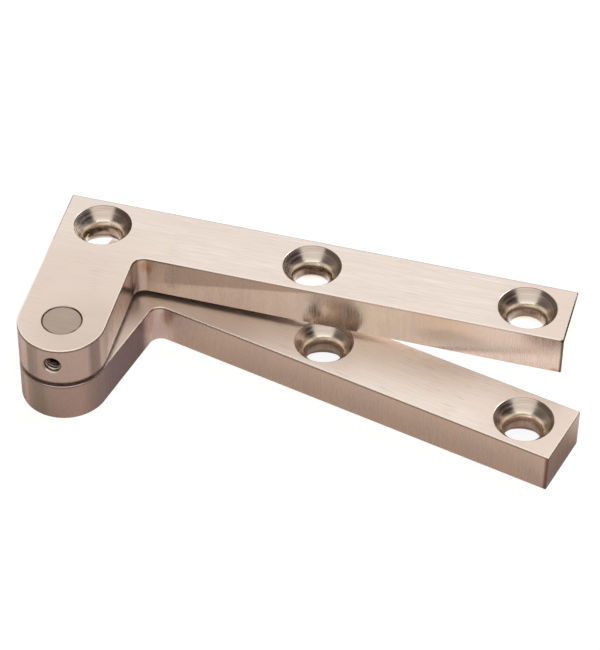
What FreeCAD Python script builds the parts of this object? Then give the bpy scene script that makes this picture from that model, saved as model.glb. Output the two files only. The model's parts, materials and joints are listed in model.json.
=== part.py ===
import FreeCAD, Part
import math
import os

# Offset pivot hinge: two equal cranked leaves stacked on one pivot pin.
# Lengths are in millimetres. The origin is on the pivot axis, at the underside of the
# lower leaf. The lower leaf's arm runs along +X, and +Z is up.

# The leaf, the same for both
LEAF_LENGTH = 120.0          # the arm, end to end
ARM_WIDTH = 16.5
LEAF_THICKNESS = 10.0
PIVOT_TO_BACK = 41.0         # pivot axis to the arm's back edge
PIVOT_TO_HEEL = 11.4         # pivot axis to the square heel corner, measured along the arm
BOSS_RADIUS = 10.0           # the round end of the leg, centred on the pivot
CRANK_FILLET_RADIUS = 2.8    # the inside corner between leg and arm
EDGE_BREAK = 0.3             # small flat on every outer edge of a leaf

# The screw holes, countersunk from both faces so that a leaf can be turned over
HOLE_COUNT = 3
HOLE_PITCH = 50.0
HEEL_TO_FIRST_HOLE = 10.0
COUNTERSINK_DIAMETER = 13.5
COUNTERSINK_ANGLE_DEG = 82.0
SCREW_HOLE_DIAMETER = 7.7

# The pivot
PIN_DIAMETER = 9.0
PIN_TOP_BELOW_FLUSH = 0.1
PIN_FOOT_ABOVE_FLUSH = 0.3
PIN_TOP_CHAMFER = 0.25
PIN_FOOT_CHAMFER = 0.6
PIN_FLAT_DEPTH = 0.3         # the seat for the grub screw's point
PIN_SLIP_CLEARANCE = 0.02    # pin in the upper leaf, radial
PIN_RUNNING_CLEARANCE = 0.03  # pin in the bush, radial
BORE_CHAMFER = 0.15
BUSH_WALL = 1.5
BUSH_CHAMFER = 0.3

# The washer that carries the upper leaf
WASHER_THICKNESS = 1.0       # this is the gap between the leaves
WASHER_PIN_CLEARANCE = 0.2   # radial
WASHER_SETBACK = 1.5         # from the edge of the boss

# The grub screw that locks the pin in the upper leaf: M4, hexagon socket, flat point
GRUB_THREAD_DIAMETER = 4.0
GRUB_LENGTH = 4.0
GRUB_CLEARANCE = 0.05        # radial, between the plain screw and its plain hole
GRUB_SOCKET_ACROSS_FLATS = 2.0
GRUB_SOCKET_DEPTH = 1.8
GRUB_POINT_DIAMETER = 2.5
GRUB_END_CHAMFER = 0.3
GRUB_HEIGHT = 5.4            # above the upper leaf's lower face
GRUB_AZIMUTH_DEG = -85.0     # about the pivot, from the direction of the leaf's arm
GRUB_HOLE_CHAMFER = 0.2

# How far the hinge stands open at rest, and the overshoot of every cutting tool
REST_OPENING_DEG = 13.3
OVERSHOOT = 1.0

Z_AXIS = FreeCAD.Vector(0, 0, 1)
ORIGIN = FreeCAD.Vector(0, 0, 0)

# Heights that follow from the stack
upper_leaf_z = LEAF_THICKNESS + WASHER_THICKNESS
hinge_height = upper_leaf_z + LEAF_THICKNESS
pin_radius = PIN_DIAMETER / 2


def at(x, y, z=0.0):
    return FreeCAD.Vector(x, y, z)


def turned_solid(profile):
    """A solid of revolution about Z from (radius, height) points."""
    points = [at(radius, 0, height) for radius, height in profile]
    wire = Part.makePolygon(points + [points[0]])
    return Part.Face(wire).revolve(ORIGIN, Z_AXIS, 360)


def leg_direction():
    """Unit vector down the leg: the outer edge runs from the heel corner tangent to the boss."""
    reach = math.hypot(PIVOT_TO_HEEL, PIVOT_TO_BACK)
    towards_pivot = math.atan2(-PIVOT_TO_BACK, PIVOT_TO_HEEL)
    angle = towards_pivot - math.asin(BOSS_RADIUS / reach)
    return at(math.cos(angle), math.sin(angle))


def leaf_outline():
    """The crank seen from above, as one closed wire of straight edges and arcs."""
    back_y = PIVOT_TO_BACK
    front_y = PIVOT_TO_BACK - ARM_WIDTH
    toe_x = LEAF_LENGTH - PIVOT_TO_HEEL
    heel = at(-PIVOT_TO_HEEL, back_y)
    down = leg_direction()
    across = at(-down.y, down.x)

    # the leg is as wide as the boss, so both of its edges meet the boss at a tangent
    inner_tangent = across * BOSS_RADIUS
    outer_tangent = across * -BOSS_RADIUS
    boss_bottom = down * BOSS_RADIUS

    # the inside corner, rounded between the arm's front edge and the leg's inner edge
    corner = inner_tangent + down * ((front_y - inner_tangent.y) / down.y)
    half_angle = math.acos(down.x) / 2
    setback = CRANK_FILLET_RADIUS / math.tan(half_angle)
    bisector = (at(1, 0) + down).normalize()
    fillet_centre = corner + bisector * (CRANK_FILLET_RADIUS / math.sin(half_angle))
    on_arm = corner + at(setback, 0)
    on_leg = corner + down * setback
    fillet_middle = fillet_centre - bisector * CRANK_FILLET_RADIUS

    edges = [
        Part.LineSegment(heel, at(toe_x, back_y)).toShape(),
        Part.LineSegment(at(toe_x, back_y), at(toe_x, front_y)).toShape(),
        Part.LineSegment(at(toe_x, front_y), on_arm).toShape(),
        Part.Arc(on_arm, fillet_middle, on_leg).toShape(),
        Part.LineSegment(on_leg, inner_tangent).toShape(),
        Part.Arc(inner_tangent, boss_bottom, outer_tangent).toShape(),
        Part.LineSegment(outer_tangent, heel).toShape(),
    ]
    return Part.Wire(edges)


def outer_edges(slab):
    """Every outline edge of a plain slab, and its upright edges at the three square corners."""
    toe_x = LEAF_LENGTH - PIVOT_TO_HEEL
    square_corners = [
        at(-PIVOT_TO_HEEL, PIVOT_TO_BACK),
        at(toe_x, PIVOT_TO_BACK),
        at(toe_x, PIVOT_TO_BACK - ARM_WIDTH),
    ]
    chosen = []
    for edge in slab.Edges:
        first, last = edge.Vertexes[0].Point, edge.Vertexes[-1].Point
        upright = abs(first.z - last.z) > LEAF_THICKNESS / 2
        foot = at(first.x, first.y)
        if not upright or any(foot.distanceToPoint(c) < EDGE_BREAK for c in square_corners):
            chosen.append(edge)
    return chosen


def countersunk_hole():
    """The tool for one screw hole: a plain neck with a cone from each face."""
    mouth = COUNTERSINK_DIAMETER / 2
    neck = SCREW_HOLE_DIAMETER / 2
    slope = math.tan(math.radians(COUNTERSINK_ANGLE_DEG / 2))
    cone_depth = (mouth - neck) / slope
    flare = mouth + OVERSHOOT * slope
    return turned_solid([
        (0, -OVERSHOOT),
        (flare, -OVERSHOOT),
        (neck, cone_depth),
        (neck, LEAF_THICKNESS - cone_depth),
        (flare, LEAF_THICKNESS + OVERSHOOT),
        (0, LEAF_THICKNESS + OVERSHOOT),
    ])


def hole_places():
    row_y = PIVOT_TO_BACK - ARM_WIDTH / 2
    first_x = HEEL_TO_FIRST_HOLE - PIVOT_TO_HEEL
    return [at(first_x + i * HOLE_PITCH, row_y) for i in range(HOLE_COUNT)]


def chamfered_bore(radius, chamfer):
    """The tool for a plain bore through a leaf, with a small chamfer at each mouth."""
    wide = radius + chamfer + OVERSHOOT
    return turned_solid([
        (0, -OVERSHOOT),
        (wide, -OVERSHOOT),
        (radius, chamfer),
        (radius, LEAF_THICKNESS - chamfer),
        (wide, LEAF_THICKNESS + OVERSHOOT),
        (0, LEAF_THICKNESS + OVERSHOOT),
    ])


def blank_leaf():
    """One leaf with its screw holes, flat on Z = 0 with its arm along +X."""
    slab = Part.Face(leaf_outline()).extrude(at(0, 0, LEAF_THICKNESS))
    leaf = slab.makeChamfer(EDGE_BREAK, outer_edges(slab))
    for place in hole_places():
        hole = countersunk_hole()
        hole.translate(place)
        leaf = leaf.cut(hole)
    return leaf


def lay_along_grub(shape):
    """Turns a shape built up along +Z from the pivot axis so that it points out at the grub screw."""
    shape.rotate(ORIGIN, at(0, 1, 0), 90)
    shape.rotate(ORIGIN, Z_AXIS, GRUB_AZIMUTH_DEG)
    shape.translate(at(0, 0, GRUB_HEIGHT))
    return shape


def grub_hole():
    """The tool for the tapped hole, from the pin bore out through the boss, with a small chamfer."""
    radius = GRUB_THREAD_DIAMETER / 2
    # the mouth is on the round face of the boss, so the chamfer starts a little below its crown
    sag = BOSS_RADIUS - math.sqrt(BOSS_RADIUS ** 2 - radius ** 2)
    cone_start = BOSS_RADIUS - sag - GRUB_HOLE_CHAMFER
    cone_end = BOSS_RADIUS + OVERSHOOT
    tool = turned_solid([
        (0, 0),
        (radius, 0),
        (radius, cone_start),
        (radius + cone_end - cone_start, cone_end),
        (0, cone_end),
    ])
    return lay_along_grub(tool)


def set_upper(shape):
    """Moves a piece built at the lower leaf's place to the upper leaf's place at rest."""
    shape.translate(at(0, 0, upper_leaf_z))
    shape.rotate(ORIGIN, Z_AXIS, REST_OPENING_DEG)
    return shape


def lower_leaf():
    bush_seat = chamfered_bore(pin_radius + PIN_RUNNING_CLEARANCE + BUSH_WALL, BORE_CHAMFER)
    return blank_leaf().cut(bush_seat)


def upper_leaf():
    leaf = blank_leaf().cut(chamfered_bore(pin_radius + PIN_SLIP_CLEARANCE, BORE_CHAMFER))
    return set_upper(leaf.cut(grub_hole()))


def pivot_bush():
    """A plain bearing bush, pressed into the lower leaf and as long as the leaf is thick."""
    inner = pin_radius + PIN_RUNNING_CLEARANCE
    outer = inner + BUSH_WALL
    top = LEAF_THICKNESS
    return turned_solid([
        (inner, BUSH_CHAMFER),
        (inner + BUSH_CHAMFER, 0),
        (outer - BUSH_CHAMFER, 0),
        (outer, BUSH_CHAMFER),
        (outer, top - BUSH_CHAMFER),
        (outer - BUSH_CHAMFER, top),
        (inner + BUSH_CHAMFER, top),
        (inner, top - BUSH_CHAMFER),
    ])


def thrust_washer():
    inner = pin_radius + WASHER_PIN_CLEARANCE
    outer = BOSS_RADIUS - WASHER_SETBACK
    top = upper_leaf_z
    return turned_solid([
        (inner, LEAF_THICKNESS), (outer, LEAF_THICKNESS), (outer, top), (inner, top),
    ])


def pivot_pin():
    """The ground pin, with a flat where the grub screw bears on it."""
    foot = PIN_FOOT_ABOVE_FLUSH
    top = hinge_height - PIN_TOP_BELOW_FLUSH
    pin = turned_solid([
        (0, foot),
        (pin_radius - PIN_FOOT_CHAMFER, foot),
        (pin_radius, foot + PIN_FOOT_CHAMFER),
        (pin_radius, top - PIN_TOP_CHAMFER),
        (pin_radius - PIN_TOP_CHAMFER, top),
        (0, top),
    ])
    flat_length = GRUB_THREAD_DIAMETER + 2 * PIN_FLAT_DEPTH
    flat = Part.makeBox(flat_length, PIN_DIAMETER, OVERSHOOT + PIN_FLAT_DEPTH)
    flat.translate(at(-flat_length / 2, -pin_radius, pin_radius - PIN_FLAT_DEPTH))
    return pin.cut(set_upper(lay_along_grub(flat)))


def grub_screw():
    """A plain-sided M4 screw with a hexagon socket, its flat point on the pin's flat."""
    radius = GRUB_THREAD_DIAMETER / 2 - GRUB_CLEARANCE
    point = GRUB_POINT_DIAMETER / 2
    start = pin_radius - PIN_FLAT_DEPTH
    end = start + GRUB_LENGTH
    screw = turned_solid([
        (0, start),
        (point, start),
        (radius, start + radius - point),
        (radius, end - GRUB_END_CHAMFER),
        (radius - GRUB_END_CHAMFER, end),
        (0, end),
    ])
    corner_radius = GRUB_SOCKET_ACROSS_FLATS / math.sqrt(3)
    socket_floor = end - GRUB_SOCKET_DEPTH
    corners = []
    for i in range(7):
        turn = math.radians(60 * i)
        corners.append(at(corner_radius * math.cos(turn), corner_radius * math.sin(turn), socket_floor))
    socket = Part.Face(Part.makePolygon(corners)).extrude(at(0, 0, GRUB_SOCKET_DEPTH + OVERSHOOT))
    return set_upper(lay_along_grub(screw.cut(socket)))


pieces = {
    "lower_leaf": lower_leaf(),
    "pivot_bush": pivot_bush(),
    "thrust_washer": thrust_washer(),
    "upper_leaf": upper_leaf(),
    "pivot_pin": pivot_pin(),
    "grub_screw": grub_screw(),
}

os.makedirs("parts", exist_ok=True)
for name, shape in pieces.items():
    for solid in shape.Solids:
        assert solid.isValid(), name
    shape.exportStep(f"parts/{name}.step")
    box = shape.BoundBox
    print(f"{name}: {len(shape.Solids)} solid, {shape.Volume:.1f} mm3, "
          f"x {box.XMin:.2f} to {box.XMax:.2f}, y {box.YMin:.2f} to {box.YMax:.2f}, "
          f"z {box.ZMin:.2f} to {box.ZMax:.2f}")
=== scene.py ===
# %% [markdown]
# # A cranked pivot hinge in satin nickel
# Two equal flat leaves lie one over the other and turn on one pin. This lesson loads the hinge's
# solids as a fixed frame, remodels the two leaves and the locking screw with fine edges and real
# threads, gives every piece its own metal, and lights them softly on a pale floor.

# %% Load the frame
import json
import math

import bmesh
import bpy
from mathutils import Matrix, Vector


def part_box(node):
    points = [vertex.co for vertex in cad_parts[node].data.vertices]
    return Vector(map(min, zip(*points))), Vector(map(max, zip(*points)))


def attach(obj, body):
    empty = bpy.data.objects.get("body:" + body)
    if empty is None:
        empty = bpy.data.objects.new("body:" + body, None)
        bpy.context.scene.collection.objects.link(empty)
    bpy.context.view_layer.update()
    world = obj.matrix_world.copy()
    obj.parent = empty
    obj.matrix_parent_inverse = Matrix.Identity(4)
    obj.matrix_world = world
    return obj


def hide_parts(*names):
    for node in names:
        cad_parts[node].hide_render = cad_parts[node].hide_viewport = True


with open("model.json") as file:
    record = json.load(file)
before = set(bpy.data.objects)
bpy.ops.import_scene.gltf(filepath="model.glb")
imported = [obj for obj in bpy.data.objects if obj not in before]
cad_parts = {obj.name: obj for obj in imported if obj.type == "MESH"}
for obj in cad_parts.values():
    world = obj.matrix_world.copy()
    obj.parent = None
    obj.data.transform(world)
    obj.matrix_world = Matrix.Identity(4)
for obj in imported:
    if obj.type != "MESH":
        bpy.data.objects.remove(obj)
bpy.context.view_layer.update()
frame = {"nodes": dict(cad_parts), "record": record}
MM = 0.001
for body, members in frame["record"]["behaviour"]["bodies"].items():
    print(body, "holds", sorted(members))

# %% [markdown]
# ## Sizes
# The solids already say how long and how thick each leaf is, so those sizes are read from the
# frame. The rest are the hinge's own drawing sizes, written once here in metres.

# %% Sizes of a leaf
low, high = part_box("lower_leaf")
leaf_length = high.x - low.x
leaf_thickness = high.z - low.z
pivot_to_back = high.y
pivot_to_heel = -low.x
boss_radius = -low.y
upper_leaf_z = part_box("upper_leaf")[0].z
rest_opening = math.radians(13.3)
arm_width = 16.5 * MM
crank_fillet = 2.8 * MM
edge_break = 0.3 * MM
row_y = pivot_to_back - arm_width / 2
hole_pitch = 50 * MM
first_hole_x = 10 * MM - pivot_to_heel
hole_centres = [Vector((first_hole_x + i * hole_pitch, row_y, 0)) for i in range(3)]
mouth_radius = 13.5 / 2 * MM
neck_radius = 7.7 / 2 * MM
countersink_angle = math.radians(82)
shoulder_radius = 4.0 * MM
mouth_lip = 0.06 * MM
print(f"leaf {leaf_length / MM:.1f} long, {leaf_thickness / MM:.1f} thick, "
      f"pivot {pivot_to_back / MM:.1f} from its back edge")

# %% Sizes of the pivot and its locking screw
bush_seat_radius = 6.03 * MM
pin_bore_radius = 4.52 * MM
bore_chamfer = 0.15 * MM
thread_radius = 2.0 * MM
thread_root_radius = 1.62 * MM
thread_pitch = 0.7 * MM
grub_height = 5.4 * MM
grub_azimuth = math.radians(-85)
grub_reach = (4.2 * MM, 8.2 * MM)
print(f"the upper leaf stands {(upper_leaf_z - leaf_thickness) / MM:.2f} mm above the lower one")

# %% [markdown]
# ## The camera
# The view was solved from the leaf's straight edges: the camera stands 64 cm from the hinge, 44
# degrees above the floor and 28 degrees round to the right, and it leans by one degree.

# %% Camera
CAMERA_AIM = Vector((41.35, 34.79, 10.0)) * MM
CAMERA_DISTANCE = 637.5 * MM
CAMERA_ELEVATION = math.radians(43.70)
CAMERA_HEADING = math.radians(28.09)
CAMERA_ROLL = math.radians(0.94)
LENS = 155.2

camera_data = bpy.data.cameras.new("camera")
camera_data.lens = LENS
camera_data.sensor_width = 36
camera_data.clip_start = 0.01
camera = bpy.data.objects.new("camera", camera_data)
bpy.context.scene.collection.objects.link(camera)
sight = Vector((-math.sin(CAMERA_HEADING) * math.cos(CAMERA_ELEVATION),
                math.cos(CAMERA_HEADING) * math.cos(CAMERA_ELEVATION),
                -math.sin(CAMERA_ELEVATION)))
level = sight.to_track_quat("-Z", "Y").to_matrix().to_4x4()
place = Matrix.Translation(CAMERA_AIM - sight * CAMERA_DISTANCE)
camera.matrix_world = place @ level @ Matrix.Rotation(CAMERA_ROLL, 4, "Z")
bpy.context.scene.camera = camera
print("camera at", [round(v / MM, 1) for v in camera.matrix_world.translation])

# %% [markdown]
# ## The outline of a leaf
# Seen from above a leaf is a crank: a long arm, and a short leg that ends in a round boss. The
# leg is as wide as the boss, so its two edges run into the boss at a tangent. One vertex spun
# half a turn about the pivot draws the boss, and four more corners close the outline. The inside
# corner of the crank gets its fillet, and every outer edge is broken round by 0.3 mm.

# %% Leaf outline and slab
BOSS_STEPS = 56
FILLET_STEPS = 12
BREAK_STEPS = 3
NEAR = 0.01 * MM  # two places closer than this are one place


def leg_direction():
    """Unit vector down the leg, from the square heel towards the boss."""
    reach = math.hypot(pivot_to_heel, pivot_to_back)
    towards_pivot = math.atan2(-pivot_to_back, pivot_to_heel)
    angle = towards_pivot - math.asin(boss_radius / reach)
    return Vector((math.cos(angle), math.sin(angle), 0))


down_leg = leg_direction()
across_leg = Vector((-down_leg.y, down_leg.x, 0))
front_y = pivot_to_back - arm_width
toe_x = leaf_length - pivot_to_heel
inner_tangent = across_leg * boss_radius
crank_corner = inner_tangent + down_leg * ((front_y - inner_tangent.y) / down_leg.y)
square_corners = [Vector((toe_x, front_y, 0)), Vector((toe_x, pivot_to_back, 0)),
                  Vector((-pivot_to_heel, pivot_to_back, 0))]


def near(vertex, point):
    """True where a vertex stands over a point of the outline."""
    return math.hypot(vertex.co.x - point.x, vertex.co.y - point.y) < NEAR


def upright(edge):
    """True for an edge that runs through the whole thickness."""
    return abs(edge.verts[0].co.z - edge.verts[1].co.z) > leaf_thickness / 2


def slab(bm):
    """The plain leaf: outline, thickness, the crank's fillet and the broken edges."""
    first = bm.verts.new(-inner_tangent)
    spun = bmesh.ops.spin(bm, geom=[first], cent=(0, 0, 0), axis=(0, 0, 1), dvec=(0, 0, 0),
                          angle=math.pi, steps=BOSS_STEPS, use_merge=False)
    last = [v for v in spun["geom_last"] if isinstance(v, bmesh.types.BMVert)][0]
    corners = [bm.verts.new(p) for p in [crank_corner] + square_corners]
    for a, b in zip([last] + corners, corners + [first]):
        bm.edges.new((a, b))
    face = bmesh.ops.contextual_create(bm, geom=bm.edges[:])["faces"]
    raised = bmesh.ops.extrude_face_region(bm, geom=face)["geom"]
    bmesh.ops.translate(bm, vec=(0, 0, leaf_thickness),
                        verts=[g for g in raised if isinstance(g, bmesh.types.BMVert)])
    half_angle = math.acos(down_leg.x) / 2
    corner_edge = [e for e in bm.edges if upright(e) and near(e.verts[0], crank_corner)]
    bmesh.ops.bevel(bm, geom=corner_edge, offset=crank_fillet / math.tan(half_angle),
                    segments=FILLET_STEPS, profile=0.5, affect="EDGES", material=-1)
    rims = [e for e in bm.edges if not upright(e)]
    posts = [e for e in bm.edges if upright(e) and any(near(e.verts[0], c) for c in square_corners)]
    bmesh.ops.bevel(bm, geom=rims + posts, offset=edge_break, segments=BREAK_STEPS,
                    profile=0.5, affect="EDGES", material=-1)


trial = bmesh.new()
slab(trial)
print(f"slab: {len(trial.faces)} faces, volume {abs(trial.calc_volume()) / MM ** 3:.0f} mm3")
trial.free()

# %% [markdown]
# ## Countersunk holes and bores
# Each screw hole is countersunk from both faces, so the wall is one turned profile: a cone, a
# plain neck and a second cone. The profile is drawn as a few points beside the hole's axis and
# spun once round, which is what the countersink bit does. A narrow lip breaks the edge of each
# mouth, the two shoulders between cone and neck are bevelled round, and the flat faces are filled
# again between outline and hole mouths. Each face of the mesh is marked for the metal it will get.

# %% Hole walls
HOLE_STEPS = 96
SHOULDER_STEPS = 10
FACE, SIDE, SEAT, NECK, BORE = range(5)
cone_depth = (mouth_radius - neck_radius) / math.tan(countersink_angle / 2)
shoulder_setback = shoulder_radius * math.tan(countersink_angle / 4)
IN_PLANE = 0.001 * MM


def spin_wall(bm, centre, profile):
    """Turns a wall once about an upright axis, from (radius, height) points."""
    verts = [bm.verts.new(centre + Vector((r, 0, z))) for r, z in profile]
    edges = [bm.edges.new(pair) for pair in zip(verts, verts[1:])]
    bmesh.ops.spin(bm, geom=verts + edges, cent=centre, axis=(0, 0, 1), dvec=(0, 0, 0),
                   angle=math.tau, steps=HOLE_STEPS, use_merge=True)


def on_shoulder(vertex, centre):
    """True where a vertex lies on a ring between a cone and the neck."""
    from_ring = abs((vertex.co.xy - centre.xy).length - neck_radius)
    height = vertex.co.z
    from_level = min(abs(height - cone_depth), abs(height - leaf_thickness + cone_depth))
    return from_ring < NEAR and from_level < NEAR


def level(edge):
    return abs(edge.verts[0].co.z - edge.verts[1].co.z) < NEAR


def screw_hole(bm, centre):
    """One double countersunk hole, marked as cone seats and a neck."""
    top = leaf_thickness
    half = [(mouth_radius + mouth_lip, 0), (mouth_radius - mouth_lip, mouth_lip),
            (neck_radius, cone_depth)]
    others = set(bm.faces)
    spin_wall(bm, centre, half + [(r, top - z) for r, z in reversed(half)])
    shoulders = [e for e in bm.edges
                 if level(e) and all(on_shoulder(v, centre) for v in e.verts)]
    bmesh.ops.bevel(bm, geom=shoulders, offset=shoulder_setback, segments=SHOULDER_STEPS,
                    profile=0.5, affect="EDGES", material=-1)
    for face in set(bm.faces) - others:
        from_middle = abs(face.calc_center_median().z - top / 2)
        face.material_index = NECK if from_middle < top / 2 - cone_depth else SEAT


def bore(bm, radius):
    """The plain pivot bore with a small chamfer at each mouth."""
    others = set(bm.faces)
    half = [(radius + bore_chamfer, 0), (radius, bore_chamfer)]
    spin_wall(bm, Vector(), half + [(r, leaf_thickness - z) for r, z in reversed(half)])
    for face in set(bm.faces) - others:
        face.material_index = BORE


def fill_flat(bm, z, normal):
    """Fills the flat face between the outline and every mouth that lies in its plane."""
    rings = [e for e in bm.edges
             if len(e.link_faces) == 1 and all(abs(v.co.z - z) < IN_PLANE for v in e.verts)]
    made = bmesh.ops.triangle_fill(bm, edges=rings, use_beauty=True, use_dissolve=False,
                                   normal=normal)
    for face in made["geom"]:
        if isinstance(face, bmesh.types.BMFace):
            face.material_index = FACE


def leaf_mesh(pivot_bore_radius):
    """One leaf, flat on the floor with its arm along X."""
    bm = bmesh.new()
    slab(bm)
    for face in bm.faces:
        face.material_index = SIDE
    flats = sorted(bm.faces, key=lambda f: -f.calc_area())[:2]
    bmesh.ops.delete(bm, geom=flats, context="FACES_ONLY")
    for centre in hole_centres:
        screw_hole(bm, centre)
    bore(bm, pivot_bore_radius)
    fill_flat(bm, leaf_thickness, (0, 0, 1))
    fill_flat(bm, 0, (0, 0, -1))
    bmesh.ops.recalc_face_normals(bm, faces=bm.faces)
    if bm.calc_volume(signed=True) < 0:
        bmesh.ops.reverse_faces(bm, faces=bm.faces)
    return bm


print(f"each cone is {cone_depth / MM:.2f} mm deep")

# %% [markdown]
# ## From a bmesh to a finished object
# Curved walls are shaded smooth, and every real corner stays crisp: an edge is sharp where its
# two faces turn by more than 16 degrees. A weighted normal modifier keeps flat faces flat. Bodies
# are cut with one another exactly, and each leaf reports how many edges are left open.

# %% Finishing helpers
SMOOTH_UP_TO = math.radians(16)


def finish_bmesh(bm, name):
    """A new object at the origin from a bmesh, smooth on its curves and sharp at its corners."""
    for face in bm.faces:
        face.smooth = True
    for edge in bm.edges:
        edge.smooth = len(edge.link_faces) == 2 and edge.calc_face_angle(0) < SMOOTH_UP_TO
    mesh = bpy.data.meshes.new(name)
    bm.to_mesh(mesh)
    bm.free()
    piece = bpy.data.objects.new(name, mesh)
    bpy.context.scene.collection.objects.link(piece)
    return piece


def open_edges(mesh):
    """How many edges of a mesh don't join exactly two faces: 0 for a closed body."""
    bm = bmesh.new()
    bm.from_mesh(mesh)
    count = sum(len(e.link_faces) != 2 for e in bm.edges)
    bm.free()
    return count


def cut(piece, tool, operation="DIFFERENCE"):
    """Cuts one closed body with another, keeps the result and removes the tool."""
    cutter = piece.modifiers.new("cut", "BOOLEAN")
    cutter.operation = operation
    cutter.solver = "EXACT"
    cutter.object = tool
    bpy.context.view_layer.update()
    evaluated = piece.evaluated_get(bpy.context.evaluated_depsgraph_get())
    result = bpy.data.meshes.new_from_object(evaluated)
    piece.modifiers.remove(cutter)
    piece.data = result
    bpy.data.objects.remove(tool)


def keep_flats_flat(piece):
    weighted = piece.modifiers.new("flat faces stay flat", "WEIGHTED_NORMAL")
    weighted.keep_sharp = True
    weighted.weight = 100


def tell(piece):
    print(f"{piece.name}: {len(piece.data.polygons)} faces, {open_edges(piece.data)} open edges")


# %% [markdown]
# ## The M4 thread
# A thread is one tooth profile swept along a helix. Spin does that when it is given a rise for
# each step: one pitch of the profile is swept for as many turns as are needed, the turns meet
# edge to edge, and the ragged ends are cut square. The same thread, a little fatter, cuts the
# hole in the leaf, so that the screw really would turn in it.

# %% Threads
THREAD_STEPS = 40
ROOT_FLAT = thread_pitch / 4
CREST_FLAT = thread_pitch / 8
FLANK = (thread_pitch - ROOT_FLAT - CREST_FLAT) / 2
WELD = 0.001 * MM
FINE_WELD = 0.0001 * MM


def threaded_rod(name, length, clearance):
    """A right-hand M4 thread along +Z from the origin, thinner all over by a clearance."""
    root, crest = thread_root_radius - clearance, thread_radius - clearance
    profile = [(root, 0), (root, ROOT_FLAT), (crest, ROOT_FLAT + FLANK),
               (crest, ROOT_FLAT + FLANK + CREST_FLAT), (root, thread_pitch)]
    turns = math.ceil(length / thread_pitch) + 2
    bm = bmesh.new()
    verts = [bm.verts.new((r, 0, z - 1.5 * thread_pitch)) for r, z in profile]
    edges = [bm.edges.new(pair) for pair in zip(verts, verts[1:])]
    bmesh.ops.spin(bm, geom=verts + edges, cent=(0, 0, 0), axis=(0, 0, 1),
                   dvec=(0, 0, thread_pitch / THREAD_STEPS), angle=math.tau * turns,
                   steps=THREAD_STEPS * turns, use_merge=False)
    bmesh.ops.remove_doubles(bm, verts=bm.verts, dist=WELD)
    for z, way in ((0, -1), (length, 1)):
        bmesh.ops.bisect_plane(bm, geom=bm.verts[:] + bm.edges[:] + bm.faces[:], dist=FINE_WELD,
                               plane_co=(0, 0, z), plane_no=(0, 0, way), clear_outer=True)
    rims = [e for e in bm.edges if len(e.link_faces) == 1]
    bmesh.ops.holes_fill(bm, edges=rims, sides=0)
    bmesh.ops.recalc_face_normals(bm, faces=bm.faces)
    return finish_bmesh(bm, name)


def turned_blank(name, profile, steps):
    """A closed turned body about Z from (radius, height) points that start and end on the axis."""
    bm = bmesh.new()
    verts = [bm.verts.new((r, 0, z)) for r, z in profile]
    edges = [bm.edges.new(pair) for pair in zip(verts, verts[1:])]
    bmesh.ops.spin(bm, geom=verts + edges, cent=(0, 0, 0), axis=(0, 0, 1), dvec=(0, 0, 0),
                   angle=math.tau, steps=steps, use_merge=True)
    bmesh.ops.remove_doubles(bm, verts=bm.verts, dist=FINE_WELD)
    bmesh.ops.recalc_face_normals(bm, faces=bm.faces)
    return finish_bmesh(bm, name)


def move_mesh(piece, matrix):
    piece.data.transform(matrix)
    piece.data.update()


# From a thread along +Z at the origin to the tapped hole, which runs out from the pivot.
lay_along_grub = (Matrix.Rotation(rest_opening, 4, "Z")
                  @ Matrix.Translation((0, 0, upper_leaf_z + grub_height))
                  @ Matrix.Rotation(grub_azimuth, 4, "Z")
                  @ Matrix.Rotation(math.radians(90), 4, "Y"))
print(f"thread tooth: {ROOT_FLAT / MM:.3f} mm root, {CREST_FLAT / MM:.3f} mm crest")

# %% [markdown]
# ## The two leaves
# Both leaves come from the same function. The lower one has a wide bore for its bush. The upper
# one is turned and lifted to its place, and then its boss is drilled and tapped from the side.

# %% Lower leaf
lower_leaf = finish_bmesh(leaf_mesh(bush_seat_radius), "lower_leaf_satin")
keep_flats_flat(lower_leaf)
tell(lower_leaf)

# %% Upper leaf
MOUTH_STEPS = 64
upper_bm = leaf_mesh(pin_bore_radius)
to_its_place = Matrix.Rotation(rest_opening, 4, "Z") @ Matrix.Translation((0, 0, upper_leaf_z))
bmesh.ops.transform(upper_bm, matrix=to_its_place, verts=upper_bm.verts)
upper_leaf = finish_bmesh(upper_bm, "upper_leaf_satin")

# The tap runs out past the boss, and a cone chamfers the hole's mouth where the round side ends.
tap_reach = boss_radius + 1 * MM
tap = threaded_rod("tap", tap_reach, 0)
chamfer_depth = 0.22 * MM
boss_sag = boss_radius - math.sqrt(boss_radius ** 2 - thread_radius ** 2)
cone_foot = boss_radius - boss_sag - chamfer_depth
mouth_tool = turned_blank("mouth_tool", [(0, cone_foot - thread_radius),
                                         (thread_radius + tap_reach - cone_foot, tap_reach),
                                         (0, tap_reach)], MOUTH_STEPS)
for tool in (tap, mouth_tool):
    move_mesh(tool, lay_along_grub)
    cut(upper_leaf, tool)
into_tap = lay_along_grub.inverted()
for polygon in upper_leaf.data.polygons:
    centre = into_tap @ polygon.center
    if math.hypot(centre.x, centre.y) < thread_radius and 0 < centre.z < cone_foot:
        polygon.material_index = BORE
keep_flats_flat(upper_leaf)
tell(upper_leaf)

# %% [markdown]
# ## The locking screw
# A grub screw has no head: a threaded rod, turned down to a cone at both ends, with a hexagon
# socket. It is made as it is in the shop. The threaded rod is kept only where a turned blank
# with coned ends overlaps it, and a six-sided punch sinks the socket.

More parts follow.
